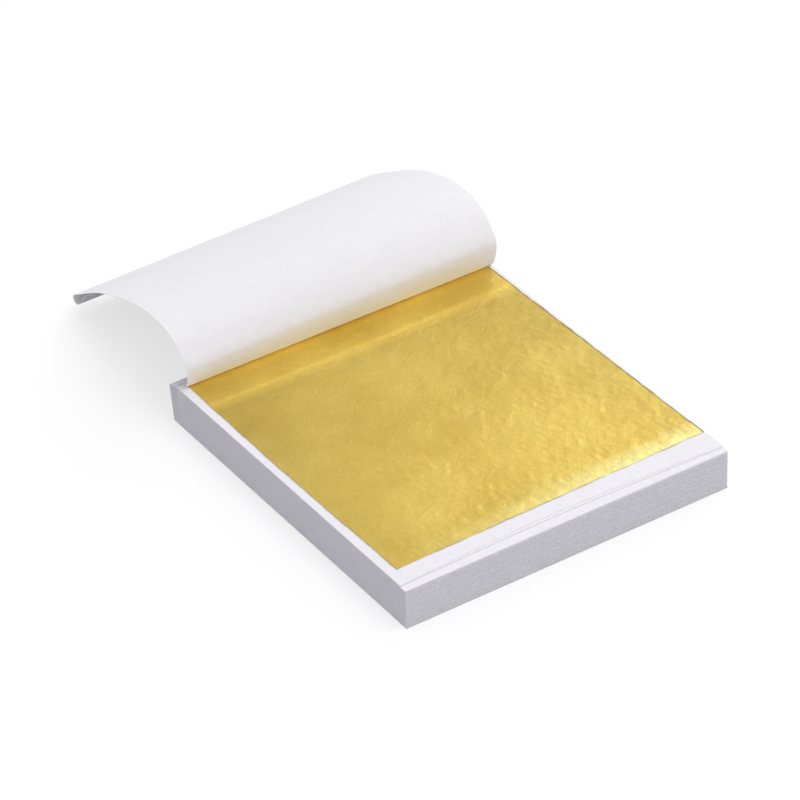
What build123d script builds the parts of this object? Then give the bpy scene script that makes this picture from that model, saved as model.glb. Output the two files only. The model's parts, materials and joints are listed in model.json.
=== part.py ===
from build123d import *
import math
import os

# Gold leaf booklet, millimetres. +X across the booklet, -Y its open front edge, +Y its bound
# back edge, +Z up. The origin is the centre of the backing sheet's underside.

# the leaves and the pages that hold them
leaf_width = 80.0
leaf_length = 81.5
leaf_thickness = 0.008
leaf_side_margin = 1.5
leaf_front_margin = 7.3
leaf_back_margin = 2.2
leaf_skew_degrees = 0.7
open_leaf_shift = 1.1
closed_leaf_shift = 0.1
page_thickness = 0.076
page_pitch = 0.0972
sheet_air = 0.006
backing_thickness = 0.25

# how many pages there are, and how they are shared out among the files
first_page = 2
page_count = 101
last_single_page = 9
page_group_count = 4

# small uneven edges of the pages, and the few top pages that lie further back
edge_wander_x = 0.12
edge_wander_y = 0.10
wander_step_x_radians = 2.1
wander_step_y_radians = 3.7
top_setback = 1.6
top_setback_page_count = 3

# behind the leaves the pages slope down and lean back towards the binding
bend_clearance = 0.3
margin_droop_share = 0.10
spine_lean = 1.4

# the top page, turned back
turned_left_inset = 1.3
turned_right_inset = 0.05
root_inset = 3.4
root_rise = 0.30
landing_share = 1 / 3
fold_gap = 0.10
first_lean_degrees = 110.5
arch_left_shares = [0.0370, 0.0390, 0.0850, 0.1023, 0.1340, 0.1814, 0.2062]
arch_right_shares = [0.0586, 0.0460, 0.0999, 0.0924, 0.1115, 0.1543, 0.2648]
arch_fold_degrees = [24.6, 47.5, 33.8, 16.7, 11.0, 8.7]
roll_radius = 1.2
roll_step_count = 10
closing_degrees = 20.0
tail_gap = 0.45

# the binding
glue_thickness = 0.20
glue_inset = 0.40
strip_thickness = 0.14
strip_flange_depth = 2.4
strip_air = 0.01

last_page = page_count
page_width = leaf_width + 2 * leaf_side_margin
page_depth = leaf_length + leaf_front_margin + leaf_back_margin
front_y = -page_depth / 2
back_y = page_depth / 2
left_x = -page_width / 2
right_x = page_width / 2
leaf_centre_y = back_y - leaf_back_margin - leaf_length / 2
leaf_skew = math.radians(leaf_skew_degrees)
leaf_reach = leaf_length / 2 * math.cos(leaf_skew) + leaf_width / 2 * math.sin(leaf_skew)
bend_y = leaf_centre_y + leaf_reach + bend_clearance
stack_top = backing_thickness + (last_page - first_page + 1) * page_pitch
root_y = back_y - root_inset
root_z = stack_top + root_rise
turned_width = page_width - turned_left_inset - turned_right_inset
turned_length = page_depth - root_inset - top_setback


def wander_share(number, step):
    """Uneven trim of one sheet, from -1 to 1, from its place in the pad."""
    return math.sin(number * step)


def page_bottom(number):
    """Height of a page's underside over the leaf area."""
    return backing_thickness + (last_page - number) * page_pitch + sheet_air


def drooped(height):
    """Height at the back edge of something that is at this height over the leaf area."""
    return backing_thickness + (height - backing_thickness) * (1 - margin_droop_share)


def spine_y(height):
    """Where the leaning back face of the pad is, at a height on that face."""
    return back_y + spine_lean * height / stack_top


def sheet_section(y_front, z_low, thickness):
    """Side profile of a sheet that is flat over the leaf area and slopes down behind it."""
    z_high = z_low + thickness
    z_back = drooped(z_low)
    return [
        (y_front, z_low),
        (bend_y, z_low),
        (spine_y(z_back), z_back),
        (spine_y(z_back), z_back + thickness),
        (bend_y, z_high),
        (y_front, z_high),
    ]


def margin_slope(low_back):
    """How steeply a sheet slopes down behind the leaf area, from its height at the back edge."""
    return (page_bottom(first_page) - drooped(page_bottom(first_page))) / (spine_y(low_back) - bend_y)


def along_x(section, x_low, x_high):
    """Solid of a closed (y, z) profile between two x positions."""
    outline = Polyline(*[(x_low, y, z) for y, z in section], close=True)
    return extrude(make_face(outline), amount=x_high - x_low, dir=(1, 0, 0))


def page(number):
    """One tissue page of the pad."""
    set_back = top_setback if number < first_page + top_setback_page_count else 0
    y_front = front_y + set_back + edge_wander_y * (1 + wander_share(number, wander_step_y_radians))
    shift = edge_wander_x * (1 + wander_share(number, wander_step_x_radians))
    section = sheet_section(y_front, page_bottom(number), page_thickness)
    return along_x(section, left_x + shift, right_x - shift)


def leaf(number):
    """One leaf, lying a little askew on the page after its own number. The open one has slid to the right."""
    z_low = page_bottom(number + 1) + page_thickness + sheet_air
    shift = open_leaf_shift if number < first_page else closed_leaf_shift
    shift += edge_wander_x * wander_share(number, wander_step_y_radians)
    sheet = Box(leaf_width, leaf_length, leaf_thickness, align=(Align.CENTER, Align.CENTER, Align.MIN))
    return Location((shift, leaf_centre_y, z_low)) * Rotation(0, 0, leaf_skew_degrees) * sheet


def turned_about(vector, axis, degrees):
    """A vector turned about a unit axis."""
    angle = math.radians(degrees)
    along = axis * (axis.dot(vector) * (1 - math.cos(angle)))
    return vector * math.cos(angle) + axis.cross(vector) * math.sin(angle) + along


# The turned page is laid out flat first. u runs across it from its left edge, v from its root to its
# free edge. Every fold line is straight, and is given by its v at the left and right edge, so the
# folded page flattens exactly. The arch has a hinge at each of its fold lines. Behind the last strip
# the sheet is doubled back: it rolls through half a turn and a little more, closes in on the arch
# and ends in a tail that lies inside it.
hinge_lines = [(0.0, 0.0)]
for left_share, right_share in zip(arch_left_shares, arch_right_shares):
    v_left, v_right = hinge_lines[-1]
    hinge_lines.append((v_left + left_share * turned_length, v_right + right_share * turned_length))
roll_start = hinge_lines.pop()
slant = math.atan2(roll_start[1] - roll_start[0], turned_width)
roll_degrees = 180 + closing_degrees
roll_step_degrees = roll_degrees / roll_step_count
roll_step = 2 * roll_radius * math.tan(math.radians(roll_step_degrees) / 2)
closing = math.radians(closing_degrees)
closing_length = (roll_radius * (1 + math.cos(closing)) - tail_gap) / math.sin(closing)
end_lines = [roll_start]
end_steps = [roll_step] * (roll_step_count - 1) + [closing_length]
for length in end_steps:
    v_left, v_right = end_lines[-1]
    end_lines.append((v_left + length / math.cos(slant), v_right + length / math.cos(slant)))
fold_lines = hinge_lines + end_lines
fold_degrees = arch_fold_degrees + [roll_step_degrees] * roll_step_count + [-closing_degrees]
free_edge = (turned_length, turned_length)

# Each strip's flat sheet is carried to its folded place by a frame: an origin and two directions.
turned_left_x = left_x + turned_left_inset
frame_origin = Vector(turned_left_x, root_y, root_z)
frame_u = Vector(1, 0, 0)
lean = math.radians(first_lean_degrees)
frame_v = Vector(0, math.cos(lean), math.sin(lean))
strip_frames = [(frame_origin, frame_u, frame_v)]


def folded_point(frame, u, v):
    """Where a point of the flat page is, on the strip that has this frame."""
    origin, along_u, along_v = frame
    return origin + along_u * u + along_v * v


for line, angle in zip(fold_lines[1:], fold_degrees):
    frame = strip_frames[-1]
    left_point = folded_point(frame, 0, line[0])
    right_point = folded_point(frame, turned_width, line[1])
    axis = (right_point - left_point).normalized()
    origin = left_point + turned_about(frame[0] - left_point, axis, -angle)
    strip_frames.append((origin, turned_about(frame[1], axis, -angle), turned_about(frame[2], axis, -angle)))


def sheet_normal(index):
    """Which way the face of one flat strip looks."""
    return strip_frames[index][1].cross(strip_frames[index][2]).normalized()


def cut_face(frame, line, offset):
    """Face across the sheet's thickness along a line of the flat page."""
    left_point = folded_point(frame, 0, line[0])
    right_point = folded_point(frame, turned_width, line[1])
    corners = [left_point - offset, right_point - offset, right_point + offset, left_point + offset]
    return make_face(Polyline(*corners, close=True))


def moved_line(line, distance):
    """A line of the flat page, moved along v."""
    return (line[0] + distance, line[1] + distance)


def arch_strip(index):
    """One flat strip of the arch between two hinge lines, in its folded place."""
    frame = strip_frames[index]
    offset = sheet_normal(index) * (page_thickness / 2)
    low = cut_face(frame, moved_line(hinge_lines[index], fold_gap / 2), offset)
    high = cut_face(frame, moved_line(hinge_lines[index + 1], -fold_gap / 2), offset)
    return loft([low, high], ruled=True)


def doubled_end():
    """The last strip with its rolled end, as one sheet with a mitre at each fold."""
    first = len(hinge_lines) - 1
    half = page_thickness / 2
    low = moved_line(hinge_lines[first], fold_gap / 2)
    faces = [cut_face(strip_frames[first], low, sheet_normal(first) * half)]
    for index in range(first, len(fold_lines) - 1):
        before = sheet_normal(index)
        after = sheet_normal(index + 1)
        mitre = (before + after) * (half / (1 + before.dot(after)))
        faces.append(cut_face(strip_frames[index], fold_lines[index + 1], mitre))
    faces.append(cut_face(strip_frames[-1], free_edge, sheet_normal(len(strip_frames) - 1) * half))
    return loft(faces, ruled=True)


def turned_margin():
    """The part of the turned page that stays in the binding, from its root fold to its back edge."""
    low_back = drooped(page_bottom(first_page)) + page_thickness + sheet_air
    end_y = spine_y(low_back)
    landing_y = root_y + (end_y - root_y) * landing_share
    landing_z = low_back + (end_y - landing_y) * margin_slope(low_back)
    start_y = root_y + fold_gap / 2
    start_z = root_z - page_thickness / 2
    section = [
        (start_y, start_z),
        (landing_y, landing_z),
        (end_y, low_back),
        (end_y, low_back + page_thickness),
        (landing_y, landing_z + page_thickness),
        (start_y, start_z + page_thickness),
    ]
    return along_x(section, turned_left_x, turned_left_x + turned_width)


def glue():
    """Thin film of padding glue over the back edges of the sheets."""
    top = drooped(page_bottom(first_page)) + page_thickness
    section = [
        (spine_y(0), 0),
        (spine_y(0) + glue_thickness, 0),
        (spine_y(top) + glue_thickness, top),
        (spine_y(top), top),
    ]
    return along_x(section, left_x + glue_inset, right_x - glue_inset)


def binding_strip():
    """Folded strip: a flange on the top page's margin and a wall down the glued edge."""
    low_back = drooped(page_bottom(first_page)) + 2 * page_thickness + sheet_air + strip_air
    top_back = low_back + strip_thickness
    flange_y = spine_y(low_back) - strip_flange_depth
    flange_low = low_back + (spine_y(low_back) - flange_y) * margin_slope(low_back)
    wall_air = glue_thickness + strip_air
    section = [
        (flange_y, flange_low),
        (spine_y(low_back), low_back),
        (spine_y(low_back) + wall_air, low_back),
        (spine_y(0) + wall_air, 0),
        (spine_y(0) + wall_air + strip_thickness, 0),
        (spine_y(top_back) + wall_air + strip_thickness, top_back),
        (spine_y(low_back), top_back),
        (flange_y, flange_low + strip_thickness),
    ]
    return along_x(section, left_x, right_x)


def backing_sheet():
    """Firm sheet under the last page."""
    return Box(page_width, page_depth, backing_thickness, align=(Align.CENTER, Align.CENTER, Align.MIN))


parts = {
    "backing_sheet": backing_sheet(),
    "binding_strip": binding_strip(),
    "spine_glue": glue(),
    "turned_page_margin": turned_margin(),
    "exposed_leaf": leaf(1),
}
for index in range(len(hinge_lines) - 1):
    parts["turned_page_strip_%d" % (index + 1)] = arch_strip(index)
parts["turned_page_end"] = doubled_end()
for number in range(first_page, last_single_page + 1):
    parts["page_%03d" % number] = page(number)
    parts["leaf_%03d" % number] = leaf(number)
group_size = (last_page - last_single_page) // page_group_count
for group in range(page_group_count):
    low = last_single_page + 1 + group * group_size
    high = last_page if group == page_group_count - 1 else low + group_size - 1
    last_leaf = min(high, last_page - 1)
    pages = [page(number) for number in range(low, high + 1)]
    leaves = [leaf(number) for number in range(low, last_leaf + 1)]
    parts["pages_%03d_to_%03d" % (low, high)] = Compound(children=pages)
    parts["leaves_%03d_to_%03d" % (low, last_leaf)] = Compound(children=leaves)

os.makedirs("parts", exist_ok=True)
for name, shape in parts.items():
    export_step(shape, "parts/" + name + ".step")
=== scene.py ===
import json
import math

import bpy
import numpy as np
from mathutils import Matrix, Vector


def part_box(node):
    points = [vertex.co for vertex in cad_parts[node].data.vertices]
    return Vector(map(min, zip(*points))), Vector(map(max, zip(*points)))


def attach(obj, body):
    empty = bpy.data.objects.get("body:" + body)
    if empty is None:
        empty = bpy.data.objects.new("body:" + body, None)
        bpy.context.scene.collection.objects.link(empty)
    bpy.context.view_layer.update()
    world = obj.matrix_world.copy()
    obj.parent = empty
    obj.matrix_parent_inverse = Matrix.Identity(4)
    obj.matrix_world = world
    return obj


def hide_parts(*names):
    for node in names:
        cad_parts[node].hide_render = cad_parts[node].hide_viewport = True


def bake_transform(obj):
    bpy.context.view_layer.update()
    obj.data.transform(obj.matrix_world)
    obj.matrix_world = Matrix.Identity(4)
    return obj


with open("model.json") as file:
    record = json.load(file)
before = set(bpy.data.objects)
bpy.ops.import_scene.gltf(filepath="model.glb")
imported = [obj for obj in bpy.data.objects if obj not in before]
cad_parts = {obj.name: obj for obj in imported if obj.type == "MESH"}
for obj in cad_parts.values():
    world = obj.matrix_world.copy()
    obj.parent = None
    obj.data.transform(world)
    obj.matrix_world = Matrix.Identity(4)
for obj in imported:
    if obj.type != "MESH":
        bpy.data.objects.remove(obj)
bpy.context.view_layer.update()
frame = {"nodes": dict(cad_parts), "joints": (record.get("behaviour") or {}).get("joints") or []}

# Gold leaf booklet, metres. +X across the booklet, -Y its open front edge, +Y its bound back edge.
MM = 0.001
nodes = frame["nodes"]
joints = {joint["name"]: joint for joint in frame["joints"]}

# The turned page: its cut, its folds and its doubled end. The shares of its length give each fold line's
# distance from the one before it, along the left and the right edge.
PAGE_THICKNESS = 0.076 * MM
PAGE_WIDTH = 81.65 * MM
PAGE_LENGTH = 86.0 * MM
ROOT_Y = 42.1 * MM
ROOT_BEND = 0.9 * MM
LEFT_SHARES = [0.0370, 0.0390, 0.0850, 0.1023, 0.1340, 0.1814, 0.2062]
RIGHT_SHARES = [0.0586, 0.0460, 0.0999, 0.0924, 0.1115, 0.1543, 0.2648]
FOLD_DEGREES = [24.6, 47.5, 33.8, 16.7, 11.0, 8.7]
FOLD_COUNT = len(FOLD_DEGREES)
FIRST_LEAN_DEGREES = 110.5
ROLL_RADIUS = 1.2 * MM
ROLL_STEPS = 10
CLOSING_DEGREES = 20.0
TAIL_GAP = 0.45 * MM
TAIL_BEND_REACH = 1.5 * MM
END_CUT_SHARE = 0.30
PAGE_COLUMNS = 108
BEND_ROWS = 24

# The turned page's cockle: cell size, stretch along the page, height and seed of each of its two waves.
COCKLES = ((11 * MM, 0.4, 0.07 * MM, 5), (4.5 * MM, 0.6, 0.02 * MM, 6))
COCKLE_FADE = 6 * MM

# The open leaf. Its corners are in millimetres, and the slopes of its front and right edge place the painted
# highlight along its front edge and the painted shade on its right edge line.
# A wrinkle is a cell size, a depth, a lean and a seed, and the ragged cut is cell sizes and depths that fade
# inwards with a power of the place across the leaf.
LEAF_THICKNESS = 0.008 * MM
LEAF_CLEARANCE = 0.002 * MM
LEAF_CELLS = 216
LEAF_FRONT_LEFT = (-38.9, -38.5)
LEAF_FRONT_RIGHT = (41.2, -37.2)
LEAF_BACK_LEFT = (-39.3, 42.7)
LEAF_BACK_RIGHT = (40.6, 43.1)
LEFT_EDGE_BOW = 0.4 * MM
FRONT_EDGE_SLOPE = 0.0162
RIGHT_EDGE_LEAN = 0.0075
CREASE_INSET = 8.5 * MM
CREASE_WIDTH = 1.4 * MM
CREASE_HEIGHT = 0.06 * MM
CREASE_WANDER = 0.7 * MM
CREASE_WANDER_CELL = 16 * MM
CUT_WAVES = ((2.6 * MM, 0.10 * MM), (0.8 * MM, 0.06 * MM))
CUT_FADE_POWER = 14
WRINKLES = (
    (9.0 * MM, 0.032 * MM, 0.5, 41),
    (3.4 * MM, 0.045 * MM, -0.6, 42),
    (1.7 * MM, 0.038 * MM, 0.2, 44),
)

# The pad's top pages: a number, how far the two ends of the front edge lie behind the pad's front, and the
# bow between them, in millimetres.
TOP_PAGES = ((2, (2.1, 1.9), 1.6), (3, (2.0, 1.75), 0.95), (4, (1.95, 1.7), 0.95), (5, (0.1, 0.3), 0.0))
PAD_FRONT = -45.5 * MM
PAD_BEND = 44.09 * MM
PAGE_EDGE_WANDER = 0.07 * MM
PAGE_EDGE_CELL = 7 * MM

# the binding strip
STRIP_THICKNESS = 0.14 * MM
STRIP_FLANGE_SLOPE = 0.358
STRIP_LEAN = 1.276 * MM
FOLD_REACH = 0.45 * MM
STREAK_DEPTH = 0.05 * MM
STREAK_CELLS = (1.3 * MM, 0.6 * MM)
STRIP_COLUMNS = 240

# the camera, fitted to the corners of the leaf and of the pad in the photo
CAMERA_LENS = 197.76
CAMERA_PLACE = (-0.42612, -0.64294, 0.56205)
CAMERA_RIGHT = (0.82937, -0.55799, -0.02800)
CAMERA_UP = (0.34210, 0.46760, 0.81510)
CAMERA_BACK = (-0.44171, -0.68557, 0.57870)


# ---- shapes ----
def unit(vector):
    """A vector divided by its length."""
    return vector / np.linalg.norm(vector)


def turned(vectors, axis, angle):
    """Vectors turned about a unit axis: v cos a + (axis x v) sin a + axis (axis . v)(1 - cos a)."""
    along = (vectors @ axis)[..., None] * axis
    square = np.cross(axis, vectors)
    return vectors * math.cos(angle) + square * math.sin(angle) + along * (1 - math.cos(angle))


def lattice_noise(x, y, cell, seed):
    """Smooth random height from -1 to 1. Random values sit on a square lattice of the given cell, and the
    four round a point are mixed with weights t*t*(3 - 2t) of its place in the cell."""
    values = np.random.default_rng(seed).uniform(-1, 1, (256, 256))
    gx = x / cell + 1000
    gy = y / cell + 1000
    ix = np.floor(gx).astype(int)
    iy = np.floor(gy).astype(int)
    tx = gx - ix
    ty = gy - iy
    tx = tx * tx * (3 - 2 * tx)
    ty = ty * ty * (3 - 2 * ty)
    a = values[ix % 256, iy % 256]
    b = values[(ix + 1) % 256, iy % 256]
    c = values[ix % 256, (iy + 1) % 256]
    d = values[(ix + 1) % 256, (iy + 1) % 256]
    return (a * (1 - tx) + b * tx) * (1 - ty) + (c * (1 - tx) + d * tx) * ty


def ease(value, low, high):
    """0 below low, 1 above high, and t*t*(3 - 2t) between them."""
    t = np.clip((value - low) / (high - low), 0, 1)
    return t * t * (3 - 2 * t)


def with_border_rows(shares):
    """Shares from 0 to 1 with one more beside each end, so that shading stays true up to the border."""
    return np.concatenate([[0, 0.001], shares[1:-1], [0.999, 1]])


def edge_rows(count):
    """Even shares from 0 to 1, with the border rows."""
    return with_border_rows(np.linspace(0, 1, count + 1))


def close_rows(count):
    """Shares that lie closer together near both ends, (1 - cos(pi t)) / 2, with the border rows."""
    return with_border_rows((1 - np.cos(np.linspace(0, math.pi, count + 1))) / 2)


def bent(start, corner, end, t):
    """Quadratic curve: (1-t)^2 start + 2t(1-t) corner + t^2 end."""
    return (1 - t) ** 2 * start + 2 * t * (1 - t) * corner + t ** 2 * end


def grid_normals(points):
    """Unit normal at each point of a grid, the cross product of its two directions."""
    normal = np.cross(np.gradient(points, axis=1), np.gradient(points, axis=0))
    return normal / np.linalg.norm(normal, axis=2, keepdims=True)


def linked(name, data):
    """A new object of the scene."""
    piece = bpy.data.objects.new(name, data)
    bpy.context.scene.collection.objects.link(piece)
    return piece


def sheet_solid(name, middle, thickness, coordinates):
    """Closed sheet round a grid of points. Each face of it is the grid moved by half the thickness along
    the grid's normals, and walls join the two along the border."""
    rows, columns = middle.shape[:2]
    offset = grid_normals(middle) * (thickness / 2)
    count = rows * columns
    points = np.concatenate([(middle + offset).reshape(-1, 3), (middle - offset).reshape(-1, 3)])
    index = np.arange(count).reshape(rows, columns)
    a = index[:-1, :-1].ravel()
    b = index[:-1, 1:].ravel()
    c = index[1:, 1:].ravel()
    d = index[1:, :-1].ravel()
    top = np.stack([a, b, c, d], axis=1)
    under = np.stack([a, d, c, b], axis=1) + count
    border = np.concatenate([index[0, :-1], index[:-1, -1], index[-1, :0:-1], index[:0:-1, 0]])
    following = np.roll(border, -1)
    walls = np.stack([border, border + count, following + count, following], axis=1)
    faces = np.concatenate([top, under, walls])
    mesh = bpy.data.meshes.new(name)
    mesh.from_pydata(points.tolist(), [], faces.tolist())
    smooth = np.ones(len(faces), dtype=bool)
    smooth[-len(walls):] = False
    mesh.polygons.foreach_set("use_smooth", smooth)
    corners = np.tile(coordinates.reshape(-1, 2), (2, 1))[faces.ravel()]
    layer = mesh.uv_layers.new(name="Sheet")
    layer.data.foreach_set("uv", corners.astype(np.float32).ravel())
    mesh.update()
    return linked(name, mesh)


# ---- materials ----
def new_group(name, inputs, outputs):
    """Empty shader node group with float inputs (name, default) and named float outputs."""
    group = bpy.data.node_groups.new(name, "ShaderNodeTree")
    for label, default in inputs:
        socket = group.interface.new_socket(label, in_out="INPUT", socket_type="NodeSocketFloat")
        socket.default_value = default
    for label in outputs:
        group.interface.new_socket(label, in_out="OUTPUT", socket_type="NodeSocketFloat")
    start = group.nodes.new("NodeGroupInput")
    end = group.nodes.new("NodeGroupOutput")
    return group, start, end


def placed_group(tree, group, values):
    """A group's node in a material, with the given values at its named inputs; its outputs."""
    node = tree.nodes.new("ShaderNodeGroup")
    node.node_tree = group
    for label, value in values.items():
        node.inputs[label].default_value = value
    return node.outputs


def maths(tree, operation, first, second=0.0, clamp=False):
    """Math node on sockets or numbers, held between 0 and 1 where clamp is set; its result socket."""
    node = tree.nodes.new("ShaderNodeMath")
    node.operation = operation
    node.use_clamp = clamp
    for socket, value in zip(node.inputs, (first, second)):
        if isinstance(value, (int, float)):
            socket.default_value = value
        else:
            tree.links.new(value, socket)
    return node.outputs[0]


def scaled_from(tree, value, start, slope, clamp=False):
    """Math nodes for (value - start) * slope; their result socket."""
    return maths(tree, "MULTIPLY", maths(tree, "SUBTRACT", value, start), slope, clamp)


def noise(tree, vector, scale, detail=2.0, roughness=0.5, distortion=0.0):
    """Noise texture on a vector socket; its value socket. The scale is a number or a socket."""
    node = tree.nodes.new("ShaderNodeTexNoise")
    node.inputs["Detail"].default_value = detail
    node.inputs["Roughness"].default_value = roughness
    node.inputs["Distortion"].default_value = distortion
    if isinstance(scale, (int, float)):
        node.inputs["Scale"].default_value = scale
    else:
        tree.links.new(scale, node.inputs["Scale"])
    tree.links.new(vector, node.inputs["Vector"])
    return node.outputs["Fac"]


def ridges(tree, value):
    """How far a noise value lies from its middle, which gives sharp valleys where it crosses."""
    return maths(tree, "ABSOLUTE", maths(tree, "SUBTRACT", value, 0.5))


def stretched(tree, vector, scale):
    """A vector socket multiplied by (x, y, z), to draw a pattern out in one direction."""
    node = tree.nodes.new("ShaderNodeMapping")
    node.inputs["Scale"].default_value = scale
    tree.links.new(vector, node.inputs["Vector"])
    return node.outputs[0]


def ramp(tree, factor, stops):
    """Colour ramp on a value socket; stops are (place, colour)."""
    node = tree.nodes.new("ShaderNodeValToRGB")
    for element, (place, colour) in zip(node.color_ramp.elements, stops):
        element.position = place
        element.color = (*colour, 1)
    tree.links.new(factor, node.inputs["Fac"])
    return node.outputs["Color"]


def mixed(tree, factor, socket, colour):
    """A colour socket mixed towards a fixed colour by a factor."""
    node = tree.nodes.new("ShaderNodeMix")
    node.data_type = "RGBA"
    tree.links.new(factor, node.inputs["Factor"])
    tree.links.new(socket, node.inputs["A"])
    node.inputs["B"].default_value = (*colour, 1)
    return node.outputs["Result"]


def bumped(tree, shader, height, strength, distance):
    """A height feeds the shader's normal through a Bump node."""
    node = tree.nodes.new("ShaderNodeBump")
    node.inputs["Strength"].default_value = strength
    node.inputs["Distance"].default_value = distance
    tree.links.new(height, node.inputs["Height"])
    tree.links.new(node.outputs["Normal"], shader.inputs["Normal"])


def new_material(name):
    """A new material; it, its tree and its Principled shader."""
    material = bpy.data.materials.new(name)
    material.use_nodes = True
    tree = material.node_tree
    return material, tree, tree.nodes["Principled BSDF"]


def paper_fibre_group():
    """Fibres of thin paper: fine cloudy flocks and longer matted fibres, as a mask and a height."""
    group, start, end = new_group(
        "Paper fibre", [("Flock scale", 900.0), ("Fibre scale", 4000.0)], ["Flock", "Height"])
    place = group.nodes.new("ShaderNodeTexCoord").outputs["Object"]
    flock = noise(group, place, start.outputs["Flock scale"], 3.0, 0.6)
    ways = []
    for scale in ((0.25, 1, 1), (1, 0.3, 1)):
        way = stretched(group, place, scale)
        ways.append(noise(group, way, start.outputs["Fibre scale"], 2.0, 0.6, 0.6))
    fibre = maths(group, "MULTIPLY", maths(group, "MAXIMUM", *ways), 0.6)
    height = maths(group, "ADD", fibre, maths(group, "MULTIPLY", flock, 0.4))
    group.links.new(flock, end.inputs["Flock"])
    group.links.new(height, end.inputs["Height"])
    return group


def beaten_leaf_group():
    """Beaten metal leaf: a cloudy tint, a misted polish, and a height of ridges and fine crinkles."""
    group, start, end = new_group(
        "Beaten leaf",
        [("Tint scale", 60.0), ("Mist scale", 350.0), ("Ridge scale", 480.0), ("Crinkle scale", 1000.0)],
        ["Tint", "Roughness", "Height"])
    place = group.nodes.new("ShaderNodeTexCoord").outputs["Object"]
    tint = noise(group, place, start.outputs["Tint scale"], 4.0, 0.6)
    mist = noise(group, place, start.outputs["Mist scale"], 4.0, 0.65)
    rough = maths(group, "ADD", maths(group, "MULTIPLY", mist, 0.22), 0.26)
    ridge = ridges(group, noise(group, place, start.outputs["Ridge scale"], 3.0, 0.55, 0.6))
    way = stretched(group, place, (1, 1.5, 1))
    crinkle = ridges(group, noise(group, way, start.outputs["Crinkle scale"], 3.0, 0.6, 0.5))
    valleys = maths(group, "MULTIPLY", ridge, -1.5)
    height = maths(group, "ADD", valleys, maths(group, "MULTIPLY", crinkle, -1.3))
    group.links.new(tint, end.inputs["Tint"])
    group.links.new(rough, end.inputs["Roughness"])
    group.links.new(height, end.inputs["Height"])
    return group


fibre_group = paper_fibre_group()
leaf_group = beaten_leaf_group()


def paper_material(name, light, dark, roughness, bump, flock_scale, fibre_scale):
    """Matt paper whose colour and relief follow the fibre group."""
    material, tree, shader = new_material(name)
    shader.inputs["Roughness"].default_value = roughness
    shader.inputs["Specular IOR Level"].default_value = 0.25
    fibre = placed_group(tree, fibre_group, {"Flock scale": flock_scale, "Fibre scale": fibre_scale})
    colour = ramp(tree, fibre["Flock"], [(0.25, dark), (0.7, light)])
    tree.links.new(colour, shader.inputs["Base Color"])
    bumped(tree, shader, fibre["Height"], bump, 0.05 * MM)
    return material


def painted_leaf_light(tree, colour):
    """The open leaf's colour, with light and shade painted into it. It is painted a little darker towards the
    sides, the left and the back as shade. It is lighter in the strip beside the turned page's root as a
    painted reflection of the lit page, most of all next to the root over its contact shadow, and lighter on
    the crease that ends it as a painted highlight. Along its front edge, more so to the right, it has a pale
    painted highlight, and its right edge line is painted dark as shade. x and y are in millimetres."""
    place = tree.nodes.new("ShaderNodeTexCoord").outputs["Object"]
    parts = tree.nodes.new("ShaderNodeSeparateXYZ")
    tree.links.new(place, parts.inputs[0])
    x = maths(tree, "MULTIPLY", parts.outputs["X"], 1000.0)
    y = maths(tree, "MULTIPLY", parts.outputs["Y"], 1000.0)
    # Painted shade darkens the leaf towards the back, the sides and the left. Painted light fills the strip
    # beside the root as a reflection of the lit page and covers the root's contact shadow. A painted
    # highlight runs along the crease.
    to_front = scaled_from(tree, y, 14.0, -1 / 40, True)
    to_sides = scaled_from(tree, maths(tree, "ABSOLUTE", x), 26.0, 0.1, True)
    to_left = scaled_from(tree, x, -8.0, -0.05, True)
    root_strip_reflection = scaled_from(tree, y, 30.0, 0.3, True)
    root_fill_light = scaled_from(tree, y, 39.0, 0.33, True)
    sway = scaled_from(tree, noise(tree, place, 45.0, 1.0), 0.5, 2.5)
    off_crease = maths(tree, "ABSOLUTE", maths(tree, "ADD", maths(tree, "SUBTRACT", y, 33.5), sway))
    crease_highlight = scaled_from(tree, off_crease, 1.0, -1.0, True)
    tone = maths(tree, "ADD", maths(tree, "MULTIPLY", to_front, 0.11), 0.94)
    changes = ((to_sides, -0.07), (to_left, -0.05), (root_strip_reflection, 0.29), (root_fill_light, 0.16), (crease_highlight, 0.09))
    for amount, change in changes:
        tone = maths(tree, "ADD", tone, maths(tree, "MULTIPLY", amount, change))
    toned = tree.nodes.new("ShaderNodeVectorMath")
    toned.operation = "SCALE"
    tree.links.new(colour, toned.inputs[0])
    tree.links.new(tone, toned.inputs["Scale"])
    # A painted highlight: pale yellow along the front edge, more so to the right.
    from_front = maths(tree, "SUBTRACT", y, maths(tree, "MULTIPLY", x, FRONT_EDGE_SLOPE))
    wisp = scaled_from(tree, noise(tree, place, 260.0, 2.0), 0.5, 4.0)
    near_front = scaled_from(tree, maths(tree, "ADD", from_front, wisp), -32.5, -0.22, True)
    to_right = scaled_from(tree, x, -34.0, 0.018, True)
    front_highlight_mask = maths(tree, "MULTIPLY", near_front, to_right)
    paler = mixed(tree, front_highlight_mask, toned.outputs["Vector"], (0.82, 0.73, 0.28))
    # Painted shade: a dark line along the right edge.
    side = maths(tree, "ADD", x, scaled_from(tree, y, LEAF_FRONT_RIGHT[1], RIGHT_EDGE_LEAN))
    right_edge_shade = scaled_from(tree, side, 40.75, 4.0, True)
    return mixed(tree, maths(tree, "MULTIPLY", right_edge_shade, 0.8), paler, (0.16, 0.11, 0.035))


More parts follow.
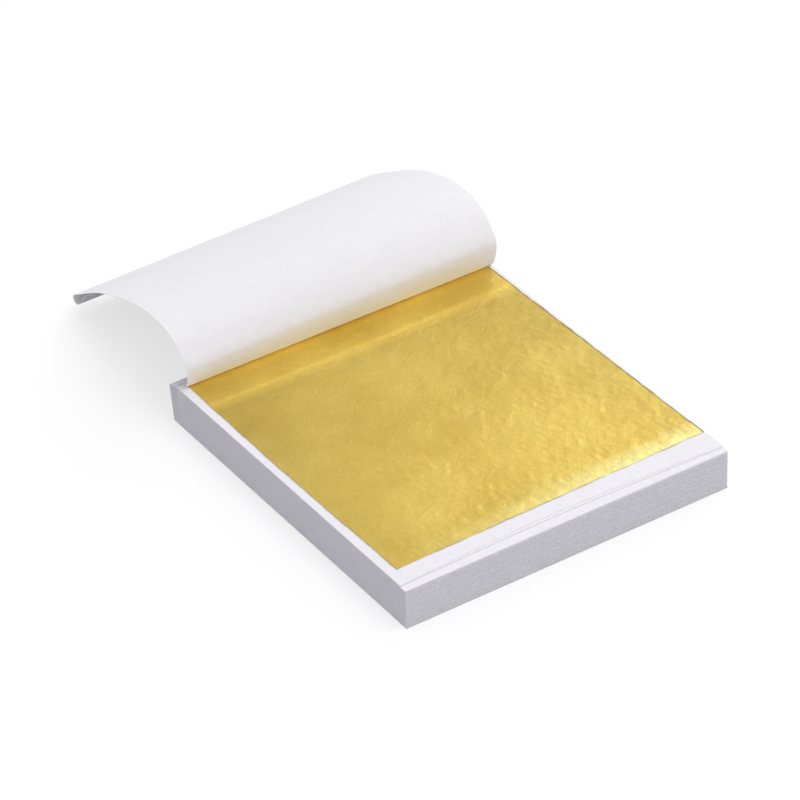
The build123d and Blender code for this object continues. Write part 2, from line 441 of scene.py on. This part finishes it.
def gold_material(name, bump, with_painted_light=False):
    """Beaten leaf: a metal whose tint, polish and fine creases follow the leaf group. Only the open leaf has
    light and shade painted into its colour as well."""
    material, tree, shader = new_material(name)
    shader.inputs["Metallic"].default_value = 0.72
    leaf = placed_group(
        tree, leaf_group,
        {"Tint scale": 60.0, "Mist scale": 350.0, "Ridge scale": 480.0, "Crinkle scale": 1000.0})
    colour = ramp(tree, leaf["Tint"], [(0.3, (0.575, 0.395, 0.064)), (0.7, (0.70, 0.52, 0.108))])
    if with_painted_light:
        colour = painted_leaf_light(tree, colour)
    tree.links.new(colour, shader.inputs["Base Color"])
    tree.links.new(leaf["Roughness"], shader.inputs["Roughness"])
    bumped(tree, shader, leaf["Height"], bump, 0.2 * MM)
    return material


def lit_tissue_copy():
    """The turned page's tissue: a copy of the pad's tissue painted lighter, for the light that falls on and
    through the raised page. A little light passes through it.
    """
    material = paper_material(
        "Turned tissue", (0.96, 0.955, 0.965), (0.92, 0.91, 0.93), 0.85, 0.30, 500.0, 3500.0)
    shader = material.node_tree.nodes["Principled BSDF"]
    shader.inputs["Subsurface Weight"].default_value = 0.2
    shader.inputs["Subsurface Radius"].default_value = (1.0, 0.95, 0.9)
    shader.inputs["Subsurface Scale"].default_value = 0.6 * MM
    return material


# The turned page's paper is the pad's tissue painted lighter, as painted light.
lit_turned_tissue = lit_tissue_copy()
tissue = paper_material("Tissue", (0.90, 0.89, 0.915), (0.85, 0.84, 0.87), 0.85, 0.20, 700.0, 3500.0)
backing = paper_material("Backing paper", (0.80, 0.80, 0.81), (0.72, 0.72, 0.73), 0.9, 0.5, 500.0, 2500.0)
strip_paper = paper_material("Strip paper", (0.88, 0.87, 0.89), (0.80, 0.79, 0.81), 0.8, 0.4, 600.0, 3000.0)
glue_skin = paper_material("Padding glue", (0.80, 0.78, 0.70), (0.72, 0.70, 0.61), 0.45, 0.6, 300.0, 1200.0)
# The open leaf's gold carries the painted light and shade.
gold = gold_material("Gold leaf", 0.5, True)
gold_edges = gold_material("Gold leaf edges", 0.2)


def painted(piece, material):
    """Gives a piece one material."""
    piece.data.materials.clear()
    piece.data.materials.append(material)


for name, node in nodes.items():
    if name.startswith(("leaf_", "leaves_")):
        painted(node, gold_edges)
    elif name.startswith(("page_", "pages_")):
        painted(node, tissue)
painted(nodes["backing_sheet"], backing)
painted(nodes["binding_strip"], strip_paper)
painted(nodes["spine_glue"], glue_skin)


# ---- the turned page ----
def folded_lines():
    """Ends of the page's fold lines in space, left and right, from the root to the start of the roll. The
    flat page is turned about each fold line in order, as a chain of flat strips."""
    v_left = np.cumsum([0.0] + LEFT_SHARES) * PAGE_LENGTH
    v_right = np.cumsum([0.0] + RIGHT_SHARES) * PAGE_LENGTH
    root = np.array(joints["page_turn"]["pos_m"])
    along_u = np.array([1.0, 0.0, 0.0])
    lean = math.radians(FIRST_LEAN_DEGREES)
    along_v = np.array([0.0, math.cos(lean), math.sin(lean)])
    origin = root - along_u * (PAGE_WIDTH / 2)
    lefts = [origin]
    rights = [origin + along_u * PAGE_WIDTH]
    for index in range(1, len(v_left)):
        left = origin + along_v * v_left[index]
        right = origin + along_u * PAGE_WIDTH + along_v * v_right[index]
        lefts.append(left)
        rights.append(right)
        if index <= FOLD_COUNT:
            axis = unit(right - left)
            angle = -math.radians(FOLD_DEGREES[index - 1])
            origin = left + turned(origin - left, axis, angle)
            along_u = turned(along_u, axis, angle)
            along_v = turned(along_v, axis, angle)
    return np.array(lefts), np.array(rights), v_left, v_right, along_v


line_left, line_right, flat_left, flat_right, last_v_way = folded_lines()
across = edge_rows(PAGE_COLUMNS)
strip_bodies = [joints["page_turn"]["child"]]
for number in range(1, FOLD_COUNT + 1):
    strip_bodies.append(joints["page_fold_%d" % number]["child"])


def ruled(left, right):
    """Points along the straight line between two ends, one for each column of the page."""
    return left + (right - left) * across[:, None]


def line_points(index, share=0.0):
    """Points and flat v, column by column, of the line a share of the way from one fold line to the next."""
    left = line_left[index]
    right = line_right[index]
    v_left = flat_left[index]
    v_right = flat_right[index]
    if share:
        left = left + (line_left[index + 1] - left) * share
        right = right + (line_right[index + 1] - right) * share
        v_left = v_left + (flat_left[index + 1] - v_left) * share
        v_right = v_right + (flat_right[index + 1] - v_right) * share
    return ruled(left, right), v_left + (v_right - v_left) * across


def page_piece(name, rows, v):
    """A piece of the turned page from the rows of its grid and their flat v. It is moved along its normals
    by a slight cockle, a smooth random height of the flat page's own u and v that fades out at the root."""
    u = np.broadcast_to(across * PAGE_WIDTH, v.shape)
    height = np.zeros_like(u)
    for cell, stretch, depth, seed in COCKLES:
        height = height + lattice_noise(u, v * stretch, cell, seed) * depth
    height = height * ease(v, 0, COCKLE_FADE)
    middle = rows + grid_normals(rows) * height[..., None]
    piece = sheet_solid(name, middle, PAGE_THICKNESS, np.stack([u, v], axis=2))
    painted(piece, lit_turned_tissue)
    return piece


def root_piece():
    """The page's margin in the binding, its root fold and the lower half of its first strip."""
    low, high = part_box("turned_page_margin")
    edge = np.array([0.0, high.y, low.z + PAGE_THICKNESS / 2])
    sideways = np.array([1.0, 0.0, 0.0])
    margin = ruled(edge + sideways * line_left[0][0], edge + sideways * line_right[0][0])
    root, _ = line_points(0)
    landing = root + (margin - root) / 3
    upper, upper_v = line_points(0, 0.5)
    bend_low = root + (landing - root) * (ROOT_BEND / np.linalg.norm(landing[0] - root[0]))
    bend_high = root + (upper - root) * (ROOT_BEND / np.linalg.norm(upper[0] - root[0]))
    flat = margin + (bend_low - margin) * np.linspace(0, 1, 7)[:-1, None, None]
    bend = bent(bend_low, root, bend_high, close_rows(16)[:-1, None, None])
    rise = bend_high + (upper - bend_high) * close_rows(10)[:, None, None]
    rows = np.concatenate([flat, bend, rise])
    steps = np.linalg.norm(np.diff(rows, axis=0), axis=2)
    v = np.concatenate([np.zeros((1, rows.shape[1])), np.cumsum(steps, axis=0)])
    piece = page_piece("turned_page_root", rows, v - v[-1] + upper_v)
    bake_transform(piece)
    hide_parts("turned_page_margin")


def bend_piece(number):
    """The page from the middle of one strip to the middle of the next, bent smoothly at the fold between."""
    corner, _ = line_points(number)
    start, start_v = line_points(number - 1, 0.5)
    end, end_v = line_points(number, END_CUT_SHARE if number == FOLD_COUNT else 0.5)
    shares = close_rows(BEND_ROWS)
    rows = bent(start, corner, end, shares[:, None, None])
    piece = page_piece("turned_page_bend_%d" % number, rows, start_v + (end_v - start_v) * shares[:, None])
    middle = len(across) // 2
    axis = unit(line_right[number] - line_left[number])
    way = end[middle] - start[middle]
    way = unit(way - axis * (way @ axis))
    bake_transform(piece)
    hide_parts("turned_page_strip_%d" % number)


def doubled_end():
    """The free end, doubled back under itself. Outside the roll's first tangent line the sheet goes straight.
    It then follows a circle for half a turn and 20 degrees, closes in on the arch along a straight run, bends
    back by 20 degrees along a quadratic curve and ends in a tail inside the arch. A point's distance q from
    the roll's line and its place along that line, u / cos a + q tan a for a line that slants by a, are those
    of the flat page."""
    start, start_v = line_points(FOLD_COUNT, END_CUT_SHARE)
    left = line_left[-1]
    axis = unit(line_right[-1] - left)
    outward = unit(np.cross(np.cross(axis, last_v_way), axis))
    inward = -np.cross(axis, outward)
    closing = math.radians(CLOSING_DEGREES)
    sweep = math.pi + closing
    half_step = ROLL_RADIUS * math.tan(sweep / ROLL_STEPS / 2)
    closing_run = (ROLL_RADIUS * (1 + math.cos(closing)) - TAIL_GAP) / math.sin(closing) - half_step
    arc_end = -half_step + ROLL_RADIUS * sweep
    straight_run = closing_run - TAIL_BEND_REACH
    bend_length = 2 * TAIL_BEND_REACH

    slant = math.atan2(flat_right[-1] - flat_left[-1], PAGE_WIDTH)
    u = across * PAGE_WIDTH
    roll_v = flat_left[-1] + (flat_right[-1] - flat_left[-1]) * across
    every = np.ones_like(u)
    stops = [
        (start_v - roll_v) * math.cos(slant),
        every * -half_step,
        every * arc_end,
        every * (arc_end + straight_run),
        every * (arc_end + straight_run + bend_length),
        (PAGE_LENGTH - roll_v) * math.cos(slant),
    ]
    row_shares = [np.linspace(0, 1, count)[:-1] for count in (33, 6, 9)]
    row_shares = [close_rows(14)[:-1], *row_shares, np.linspace(0, 1, 13)]
    q = np.concatenate([
        low + (high - low) * shares[:, None] for low, high, shares in zip(stops, stops[1:], row_shares)])

    turn = np.clip((q + half_step) / ROLL_RADIUS, 0, sweep)
    beyond = np.maximum(q - arc_end, 0)
    run = np.minimum(beyond, straight_run)
    t = np.clip((beyond - straight_run) / bend_length, 0, 1)
    past = np.maximum(beyond - straight_run - bend_length, 0)
    run = run + bend_length * (t - t * t / 2)
    tail = TAIL_BEND_REACH * t * t + past
    out = np.minimum(q, -half_step) + ROLL_RADIUS * np.sin(turn) + run * math.cos(sweep) - tail
    into = ROLL_RADIUS * (1 - np.cos(turn)) + run * math.sin(sweep)
    along = u / math.cos(slant) + q * math.tan(slant)
    rows = left + along[..., None] * axis + out[..., None] * outward + into[..., None] * inward
    piece = page_piece("turned_page_doubled_end", rows, roll_v + q / math.cos(slant))
    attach(piece, strip_bodies[-1])
    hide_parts("turned_page_end")


root_piece()
for number in range(1, FOLD_COUNT + 1):
    bend_piece(number)
doubled_end()


# ---- the leaf that lies open ----
def ragged(along, seed):
    """Uneven cut of an edge: a random distance, of two sizes, that depends on the place along it alone."""
    cut = np.zeros_like(along)
    for number, (cell, depth) in enumerate(CUT_WAVES):
        cut = cut + lattice_noise(along, along * 0, cell, seed + number) * depth
    return cut


def open_leaf():
    """The first leaf, a thin creased sheet on the second page. Its outline runs between four corners, a
    little out of square, with a left edge that bows out and a ragged cut. Its height is a sum of ridged
    noise, 1 - 2|n|, at falling sizes, stronger towards the front and the right, plus a soft crease beside
    the turned page's root."""
    low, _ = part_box("exposed_leaf")
    corners = (LEAF_FRONT_LEFT, LEAF_FRONT_RIGHT, LEAF_BACK_LEFT, LEAF_BACK_RIGHT)
    front_left, front_right, back_left, back_right = np.array(corners) * MM
    shares = edge_rows(LEAF_CELLS)
    back, right = np.meshgrid(shares, shares, indexing="ij")
    front_edge = front_left + (front_right - front_left) * right[..., None]
    back_edge = back_left + (back_right - back_left) * right[..., None]
    flat = front_edge + (back_edge - front_edge) * back[..., None]
    x = flat[..., 0] - np.sin(math.pi * back) * (1 - right) ** 3 * LEFT_EDGE_BOW
    y = flat[..., 1]
    side_cut = ragged(y, 31)
    end_cut = ragged(x, 33)
    x = x + side_cut * np.sign(right - 0.5) * np.abs(2 * right - 1) ** CUT_FADE_POWER
    y = y + end_cut * np.sign(back - 0.5) * np.abs(2 * back - 1) ** CUT_FADE_POWER
    height = np.zeros_like(x)
    for cell, depth, lean, seed in WRINKLES:
        wave = lattice_noise(x + lean * y, y - lean * x, cell, seed)
        height = height + (1 - 2 * np.abs(wave)) * depth
    height = height * (0.35 + 0.85 * ease(0.75 * right - 0.9 * back, -0.45, 0.30))
    wander = lattice_noise(x, y * 0, CREASE_WANDER_CELL, 43) * CREASE_WANDER
    crease_y = ROOT_Y - CREASE_INSET + wander
    height = height + np.exp(-((y - crease_y) / CREASE_WIDTH) ** 2) * CREASE_HEIGHT
    height = height - height.min() + LEAF_CLEARANCE
    middle = np.stack([x, y, low.z + LEAF_THICKNESS / 2 + height], axis=2)
    piece = sheet_solid("open_leaf", middle, LEAF_THICKNESS, np.stack([x, y], axis=2))
    painted(piece, gold)
    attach(piece, "first_leaf")
    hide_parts("exposed_leaf")


open_leaf()


# ---- the top pages of the pad and the binding strip ----
def pad_page(number, ends, bow):
    """One of the top pages of the pad. Its front edge lies back by a straight line between two end distances
    plus bow * sin(pi t), and wanders a little. The page is flat over the leaf area, and behind the bend it
    slopes down in a straight line to its back edge."""
    low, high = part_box("page_%03d" % number)
    share = edge_rows(80)
    x = low.x + (high.x - low.x) * share
    setback = ends[0] + (ends[1] - ends[0]) * share + bow * np.sin(math.pi * share)
    wander = lattice_noise(x, x * 0, PAGE_EDGE_CELL, 50 + number) * PAGE_EDGE_WANDER
    front = PAD_FRONT + setback * MM + wander
    flat_y = front + (PAD_BEND - front) * edge_rows(10)[:, None]
    y = np.concatenate([flat_y, np.full((1, len(x)), high.y)])
    z = np.full_like(y, high.z - PAGE_THICKNESS / 2)
    z[-1] = low.z + PAGE_THICKNESS / 2
    middle = np.stack([np.broadcast_to(x, y.shape), y, z], axis=2)
    piece = sheet_solid("pad_page_%d" % number, middle, PAGE_THICKNESS, middle[..., :2])
    painted(piece, tissue)
    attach(piece, "pad")
    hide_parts("page_%03d" % number)


def folded_strip():
    """The binding strip: a flange that slopes back over the margin, a rounded fold and a wall down the back.
    The profile, in y and z, is straight, a quadratic curve round the fold, and straight again. The wall
    stands out in upright streaks, a random height of x alone."""
    low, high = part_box("binding_strip")
    half = STRIP_THICKNESS / 2
    tip = np.array([low.y + STRIP_FLANGE_SLOPE * half, high.z - half])
    fold = np.array([high.y - half, high.z - half - STRIP_FLANGE_SLOPE * (high.y - half - tip[0])])
    foot = np.array([fold[0] - STRIP_LEAN, low.z])
    before = fold + unit(tip - fold) * FOLD_REACH
    after = fold + unit(foot - fold) * FOLD_REACH
    flange = tip + (before - tip) * np.linspace(0, 1, 6)[:-1, None]
    curve = bent(before, fold, after, np.linspace(0, 1, 13)[:, None])
    wall = after + (foot - after) * np.linspace(0, 1, 13)[1:, None]
    profile = np.concatenate([flange, curve, wall])
    x = np.linspace(low.x, high.x, STRIP_COLUMNS + 1)
    wide, narrow = [lattice_noise(x, x * 0, cell, 61 + number) for number, cell in enumerate(STREAK_CELLS)]
    streak = (wide + narrow) / 2
    down = ease(fold[1] - profile[:, 1], 0.2 * MM, 2 * MM)[:, None]
    y = profile[:, :1] + (1 + streak) / 2 * STREAK_DEPTH * down
    z = np.broadcast_to(profile[:, 1:], y.shape)
    middle = np.stack([np.broadcast_to(x, y.shape), y, z], axis=2)
    piece = sheet_solid("folded_strip", middle, STRIP_THICKNESS, middle[..., [0, 2]])
    painted(piece, strip_paper)
    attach(piece, "pad")
    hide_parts("binding_strip")


for number, ends, bow in TOP_PAGES:
    pad_page(number, ends, bow)
folded_strip()


# ---- floor, light and camera ----
def shown_or_lit(tree, lit, shown, output):
    """The camera and reflections see one shader, and the light that falls on the scene comes from another."""
    rays = tree.nodes.new("ShaderNodeLightPath")
    mix = tree.nodes.new("ShaderNodeMixShader")
    seen = maths(tree, "MAXIMUM", rays.outputs["Is Camera Ray"], rays.outputs["Is Glossy Ray"])
    tree.links.new(seen, mix.inputs[0])
    tree.links.new(lit, mix.inputs[1])
    tree.links.new(shown, mix.inputs[2])
    tree.links.new(mix.outputs[0], output.inputs["Surface"])


def plain_shader(tree, kind, colour, strength=None):
    """A shader node of one colour; its output."""
    node = tree.nodes.new(kind)
    node.inputs["Color"].default_value = (*colour, 1)
    if strength is not None:
        node.inputs["Strength"].default_value = strength
    return node.outputs[0]


def floor_material():
    """Plain pale floor. The camera and reflections see it lifted to white, with its soft shadows kept."""
    material, tree, _ = new_material("Floor")
    tree.nodes.clear()
    output = tree.nodes.new("ShaderNodeOutputMaterial")
    lifted = tree.nodes.new("ShaderNodeAddShader")
    tree.links.new(plain_shader(tree, "ShaderNodeBsdfDiffuse", (0.42, 0.42, 0.42)), lifted.inputs[0])
    tree.links.new(plain_shader(tree, "ShaderNodeEmission", (1, 1, 1), 0.62), lifted.inputs[1])
    plain = plain_shader(tree, "ShaderNodeBsdfDiffuse", (0.62, 0.62, 0.64))
    shown_or_lit(tree, plain, lifted.outputs[0], output)
    return material


mesh = bpy.data.meshes.new("floor")
mesh.from_pydata([(-3, -3, 0), (3, -3, 0), (3, 3, 0), (-3, 3, 0)], [], [(0, 1, 2, 3)])
floor = linked("floor", mesh)
painted(floor, floor_material())

world = bpy.data.worlds.new("World")
bpy.context.scene.world = world
world.use_nodes = True
tree = world.node_tree
tree.nodes.clear()
output = tree.nodes.new("ShaderNodeOutputWorld")
soft = plain_shader(tree, "ShaderNodeBackground", (0.97, 0.96, 1.0), 0.70)
white = plain_shader(tree, "ShaderNodeBackground", (1, 1, 1), 1.0)
shown_or_lit(tree, soft, white, output)


def placement(right, up, back, place):
    """Matrix that puts an object at a place, with its axes along three directions."""
    return Matrix([[right[i], up[i], back[i], place[i]] for i in range(3)] + [[0, 0, 0, 1]])


def area_light(name, place, aim, size, power):
    """Square soft lamp at a place, turned towards a point."""
    data = bpy.data.lights.new(name, "AREA")
    data.size = size
    data.energy = power
    back = unit(np.array(place) - np.array(aim))
    side = unit(np.cross([0.0, 0.0, 1.0], back))
    linked(name, data).matrix_world = placement(side, np.cross(back, side), back, place)


area_light("top_light", (0.20, -0.26, 0.82), (0, 0.02, 0), 0.6, 2.4)
area_light("right_light", (0.75, 0.45, 0.45), (0, 0.02, 0), 0.5, 1.3)

camera_data = bpy.data.cameras.new("camera")
camera_data.lens = CAMERA_LENS
camera_data.sensor_width = 36
camera_data.clip_start = 0.01
camera = linked("camera", camera_data)
camera.matrix_world = placement(CAMERA_RIGHT, CAMERA_UP, CAMERA_BACK, CAMERA_PLACE)
bpy.context.scene.camera = camera
bpy.context.scene.view_settings.view_transform = "Standard"
